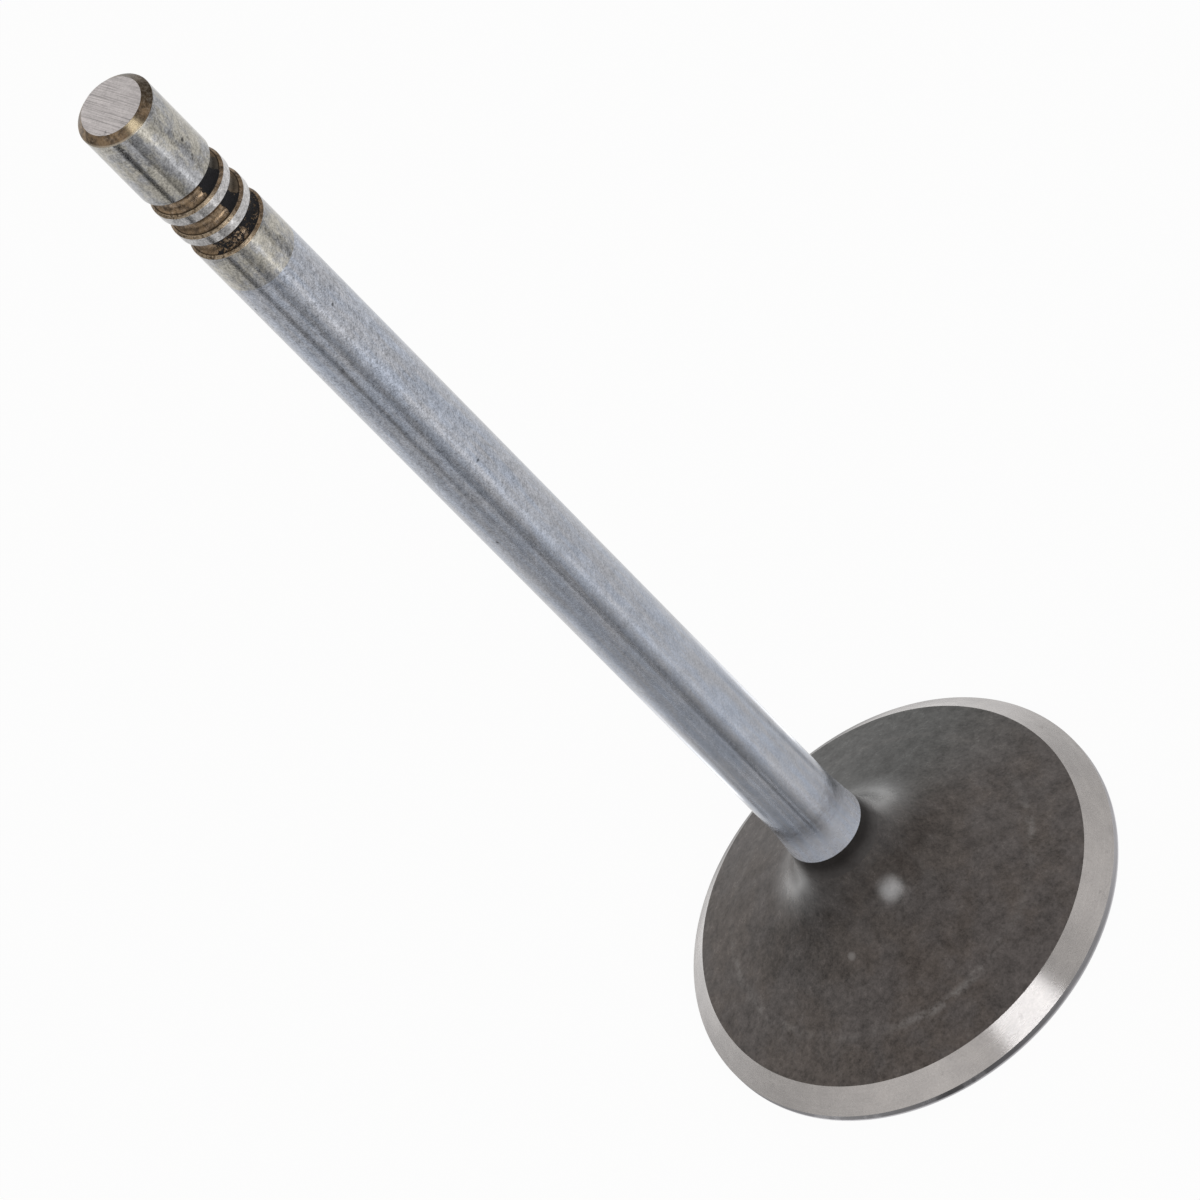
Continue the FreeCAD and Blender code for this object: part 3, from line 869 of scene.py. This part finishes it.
FLOOR_HALF = 4.0
KEY_SIZE = (0.50, 0.30)
KEY_COLOUR = (0.98, 0.985, 1.0)
CARD_HEIGHT = 0.25 * MM
RIM_CARD = (21.5 * MM, 37.0 * MM)
SEAT_CARD = (19.5 * MM, 36.0 * MM)
CARDS = (
    ("front_dark_card", (-24, -8), (37, 35), (0.80, 0.97), (0.78, 0.93), (0.745, 0.71), 0.05),
    ("narrow_dark_card", (16, 22), (32, 35), (0.50, 0.50), (0.60, 0.85), (0.00, 0.50), 0.05),
    ("side_dark_card", (42, 52), (62, 80), (0.45, 0.45), (0.60, 0.80), (0.00, 1.15), 0.04),
    ("dim_card", (14, 28), (118, 120), (0.25, 0.20), (0.65, 0.90), (0.50, 0.12), 0.05),
    ("pale_card", (-32, -23), (-14, -7), (0.50, 0.50), (0.90, 0.90), (0.15, 0.68), 1.45),
    ("far_dim_card", (-95, -95), (-52, -52), (0.50, 0.50), (0.55, 0.55), (0.08, 0.06), 0.05),
    ("left_pale_card", (126, 128), (162, 162), (0.45, 0.45), (0.65, 0.65), (1.00, 0.15), 2.0, *RIM_CARD),
    ("right_pale_card", (196, 196), (234, 232), (0.35, 0.35), (0.55, 0.55), (1.00, 0.15), 1.85, *RIM_CARD),
    ("left_seat_card", (94, 94), (124, 120), (0.40, 0.40), (0.60, 0.60), (0.60, 0.10), 0.05, *SEAT_CARD),
    ("right_seat_card", (-122, -118), (-94, -94), (0.40, 0.40), (0.60, 0.60), (0.45, 0.10), 0.05, *SEAT_CARD),
)


def floor_finish():
    """White floor that looks white in the picture and in metal, and still takes a shadow."""
    seen_by_camera, seen_in_metal = 0.955, 0.7
    material = bpy.data.materials.new("white_floor")
    bench = cleared(material)
    path = bench.add("ShaderNodeLightPath").socket.node
    camera = Link(bench, path.outputs["Is Camera Ray"])
    glossy = Link(bench, path.outputs["Is Glossy Ray"])
    matt = bench.add("ShaderNodeBsdfDiffuse", {}, {"Color": (0.82, 0.82, 0.82, 1.0)})
    white = bench.add("ShaderNodeEmission", {}, {"Color": (1.0, 1.0, 1.0, 1.0)})
    seen = bench.math("MINIMUM", camera * seen_by_camera + glossy * seen_in_metal, 1.0)
    mixed = bench.add("ShaderNodeMixShader", {}, {0: seen, 1: matt, 2: white})
    bench.add("ShaderNodeOutputMaterial", {}, {"Surface": mixed})
    return material


def studio_world():
    """Bright horizon, dim ceiling and dim low sides, and plain white where the camera looks past the floor."""
    horizon, upper_wall, ceiling = (0.84, 0.82, 0.80, 1.0), (0.78, 0.755, 0.735, 1.0), (0.33, 0.325, 0.32, 1.0)
    world = bpy.data.worlds.new("studio")
    bench = cleared(world)
    right, behind, up = bench.parts(bench.add("ShaderNodeTexCoord"))
    camera = Link(bench, bench.add("ShaderNodeLightPath").socket.node.outputs["Is Camera Ray"])
    wall = bench.mix(bench.smooth(up, 0.0, 0.60), horizon, upper_wall)
    sky = bench.mix(bench.smooth(up, 0.68, 1.0), wall, ceiling)
    front = bench.smooth(behind, -0.76, -0.92) * (1 - bench.smooth(up, 0.22, 0.34))
    beside_key = (1 - bench.smooth(behind, -0.66, -0.46)) * bench.smooth(up, 0.25, 0.40)
    beside_key = beside_key * (0.29 + right * 0.53)
    sides = bench.smooth(abs(right), 0.50, 0.72) * (1 - bench.smooth(up, 0.28, 0.52))
    shades = bench.smooth(behind, 0.78, 1.0) * 0.25 + front * 0.70 + beside_key + sides * 0.56
    sky = bench.shade(sky, behind * 0.05 + 1.0 - shades)
    seen = bench.mix(camera, sky, (1.0, 1.0, 1.0, 1.0))
    light = bench.add("ShaderNodeBackground", {}, {"Color": seen, "Strength": 1.0})
    bench.add("ShaderNodeOutputWorld", {}, {"Surface": light})
    return world


def floor_card(name, inner, outer, rise, fall, cover, shade, near=17.0 * MM, far=135 * MM):
    """A card that lies on the floor beside the valve, where only the metal sees it.

    Its long edges, inner and outer, are turns in degrees from the camera side towards -X, and its ends lie near and
    far from the valve's axis. It covers more and more of the floor from the inner edge up to the share of its width
    given by rise, then as much as cover says, and less again from the share given by fall. These five are pairs, for
    the near and the far end. Shade is how bright the card is.
    """
    rows, columns = 24, 8
    corners, across, along = [], [], []
    for row in range(rows + 1):
        length = row / rows
        reach = near + (far - near) * length
        for column in range(columns + 1):
            width = column / columns
            ends = [edge[0] + (edge[1] - edge[0]) * length for edge in (inner, outer)]
            turn = math.radians(ends[0] + (ends[1] - ends[0]) * width)
            corners.append((-reach * math.sin(turn), -reach * math.cos(turn), CARD_HEIGHT))
            across.append(width)
            along.append(length)
    step = columns + 1
    faces = [(row * step + column, row * step + column + 1, (row + 1) * step + column + 1, (row + 1) * step + column)
             for row in range(rows) for column in range(columns)]
    mesh = bpy.data.meshes.new(name)
    mesh.from_pydata(corners, [], faces)
    for label, values in (("across", across), ("along", along)):
        mesh.attributes.new(label, "FLOAT", "POINT").data.foreach_set("value", values)
    material = bpy.data.materials.new(name)
    bench = cleared(material)
    width = bench.add("ShaderNodeAttribute", {"attribute_name": "across"}, output=2)
    length = bench.add("ShaderNodeAttribute", {"attribute_name": "along"}, output=2)
    risen, falling, share = [length * (end - start) + start for start, end in (rise, fall, cover)]
    amount = bench.smooth(width, 0.0, risen) * (1 - bench.smooth(width, falling, 1.0)) * share
    clear = bench.add("ShaderNodeBsdfTransparent")
    paint = bench.add("ShaderNodeEmission", {}, {"Color": (1.0, 1.0, 1.0, 1.0), "Strength": shade})
    mixed = bench.add("ShaderNodeMixShader", {}, {0: amount, 1: clear, 2: paint})
    bench.add("ShaderNodeOutputMaterial", {}, {"Surface": mixed})
    mesh.materials.append(material)
    card = bpy.data.objects.new(name, mesh)
    card.visible_camera = False
    card.visible_diffuse = False
    card.visible_shadow = False
    return card


class VALVE_OT_studio(bpy.types.Operator):
    """Sets up the floor, the cards, the soft lamp, the world and the camera"""

    bl_idname = "valve.studio"
    bl_label = "Set up the studio"

    def execute(self, context):
        scene = context.scene
        settings = scene.valve_studio
        half = FLOOR_HALF
        mesh = bpy.data.meshes.new("studio_floor")
        mesh.from_pydata([(-half, -half, 0), (half, -half, 0), (half, half, 0), (-half, half, 0)], [], [(0, 1, 2, 3)])
        mesh.materials.append(floor_finish())
        floor = bpy.data.objects.new("studio_floor", mesh)
        scene.collection.objects.link(floor)
        for card in [floor_card(*row) for row in CARDS]:
            scene.collection.objects.link(card)

        lamp = bpy.data.lights.new("soft_key", "AREA")
        lamp.shape = "RECTANGLE"
        lamp.size, lamp.size_y = KEY_SIZE
        lamp.energy = settings.key_power
        lamp.color = KEY_COLOUR
        key = bpy.data.objects.new("soft_key", lamp)
        level = math.cos(settings.key_elevation)
        aim = Vector((0.0, 0.0, settings.aim_height))
        # One metre from the aim point
        key.location = aim + Vector((
            level * math.sin(settings.key_side), -level * math.cos(settings.key_side),
            math.sin(settings.key_elevation)))
        key.rotation_euler = (aim - key.location).to_track_quat("-Z", "Y").to_euler()
        scene.collection.objects.link(key)

        scene.world = studio_world()
        camera_data = bpy.data.cameras.new("camera")
        camera_data.lens = settings.lens
        camera_data.sensor_width = 36.0
        camera_data.clip_start = 0.01
        camera = bpy.data.objects.new("camera", camera_data)
        away = Vector((0.0, -math.cos(settings.elevation), math.sin(settings.elevation)))
        tilt = Matrix.Rotation(math.pi / 2 - settings.elevation, 4, "X") @ Matrix.Rotation(-settings.roll, 4, "Z")
        camera.matrix_world = Matrix.Translation(aim + away * settings.distance) @ tilt
        scene.collection.objects.link(camera)
        scene.camera = camera
        scene.view_settings.view_transform = "Standard"
        return {"FINISHED"}


# Panel and start

class VALVE_PT_bench(bpy.types.Panel):
    """Sidebar tab with the valve's sizes, finishes and studio"""

    bl_label = "Engine valve"
    bl_idname = "VALVE_PT_bench"
    bl_space_type = "VIEW_3D"
    bl_region_type = "UI"
    bl_category = "Valve"

    def draw(self, context):
        layout = self.layout
        for title, group in (("Sizes", context.scene.valve_sizes), ("Finishes", context.scene.valve_finishes),
                             ("Studio", context.scene.valve_studio)):
            box = layout.box()
            box.label(text=title)
            for name in group.__annotations__:
                box.prop(group, name)
        layout.operator("valve.turn")
        layout.operator("valve.studio")


CLASSES = (ValveSizes, ValveFinishes, StudioSettings, VALVE_OT_turn, VALVE_OT_studio, VALVE_PT_bench)
GROUPS = {"valve_sizes": ValveSizes, "valve_finishes": ValveFinishes, "valve_studio": StudioSettings}


def register():
    for entry in CLASSES:
        bpy.utils.register_class(entry)
    for name, group in GROUPS.items():
        setattr(bpy.types.Scene, name, bpy.props.PointerProperty(type=group))


def unregister():
    for name in GROUPS:
        delattr(bpy.types.Scene, name)
    for entry in reversed(CLASSES):
        bpy.utils.unregister_class(entry)


def main():
    register()
    bpy.ops.valve.studio()
    bpy.ops.valve.turn()


if __name__ == "__main__":
    main()
